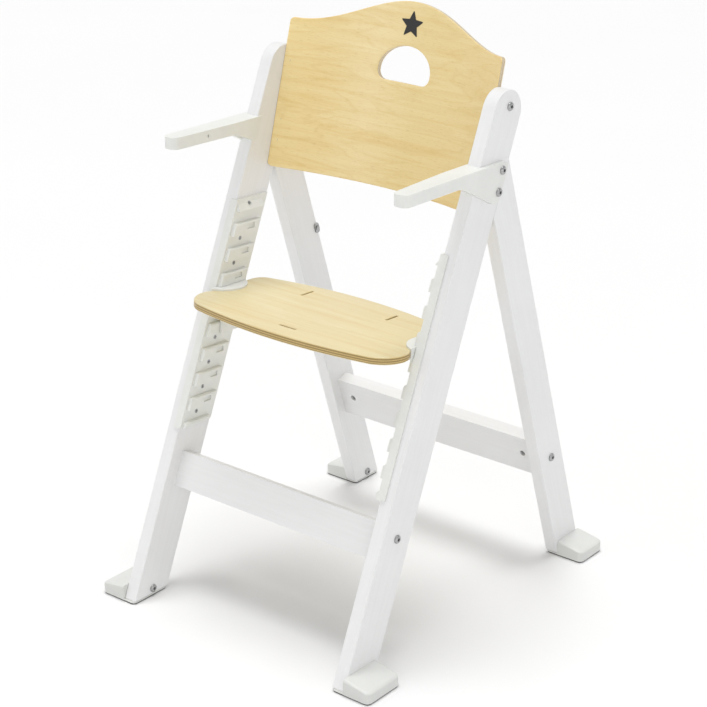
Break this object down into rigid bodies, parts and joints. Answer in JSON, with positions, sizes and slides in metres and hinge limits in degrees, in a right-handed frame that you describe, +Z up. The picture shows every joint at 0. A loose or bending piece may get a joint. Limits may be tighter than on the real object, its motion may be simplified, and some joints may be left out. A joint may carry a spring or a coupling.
{
  "type": "baby high chair",
  "caption": "A-frame wooden high chair for a baby, with a bent plywood backrest, short armrests and a seat board that slides into slotted side rails",
  "frame": {"origin": "on the floor, under the middle of the chair's outer box", "axes": "+X to the right seen from the front, +Y to the back of the chair, +Z up; the chair faces -Y"},
  "size_m": [0.529, 0.6016, 0.8863],
  "materials": {
    "lacquered_wood": "solid wood boards under smooth white satin lacquer",
    "birch_plywood": "birch plywood under clear satin lacquer, plies bare at the edges",
    "moulded_plastic": "injection-moulded off-white plastic, fine satin texture",
    "zinc_steel": "bright zinc-plated steel",
    "sole_rubber": "matt dark non-slip rubber",
    "beech_dowel": "bare fluted beech dowel"
  },
  "bodies": {
    "frame": {"front_leg_left": "lacquered_wood", "front_leg_right": "lacquered_wood", "rear_leg_left": "lacquered_wood", "rear_leg_right": "lacquered_wood", "front_stretcher": "lacquered_wood", "rear_stretcher": "lacquered_wood", "seat_rail_left": "moulded_plastic", "seat_rail_right": "moulded_plastic", "armrest_left": "moulded_plastic", "armrest_right": "moulded_plastic", "backrest": "birch_plywood", "foot_front_left": "moulded_plastic", "foot_front_right": "moulded_plastic", "foot_rear_left": "moulded_plastic", "foot_rear_right": "moulded_plastic", "pad_front_left": "sole_rubber", "pad_front_right": "sole_rubber", "pad_rear_left": "sole_rubber", "pad_rear_right": "sole_rubber", "backrest_bolts": "zinc_steel", "armrest_bolts": "zinc_steel", "backrest_barrel_nuts": "zinc_steel", "front_stretcher_bolts": "zinc_steel", "rear_stretcher_bolts": "zinc_steel", "stretcher_barrel_nuts": "zinc_steel", "rail_screws": "zinc_steel", "foot_bolts": "zinc_steel", "leg_dowels": "beech_dowel", "stretcher_dowels": "beech_dowel", "strap_anchors": "zinc_steel", "strap_anchor_screws": "zinc_steel"},
    "seat": {"seat_board": "birch_plywood", "seat_cap_left": "moulded_plastic", "seat_cap_right": "moulded_plastic", "seat_bracket_left": "moulded_plastic", "seat_bracket_right": "moulded_plastic", "seat_screws": "zinc_steel"}
  },
  "joints": [
    {"name": "seat_pull_out", "type": "slide", "parent": "frame", "child": "seat", "axis": [0, -0.9978, 0.067], "range_m": [0, 0.13]}
  ]
}
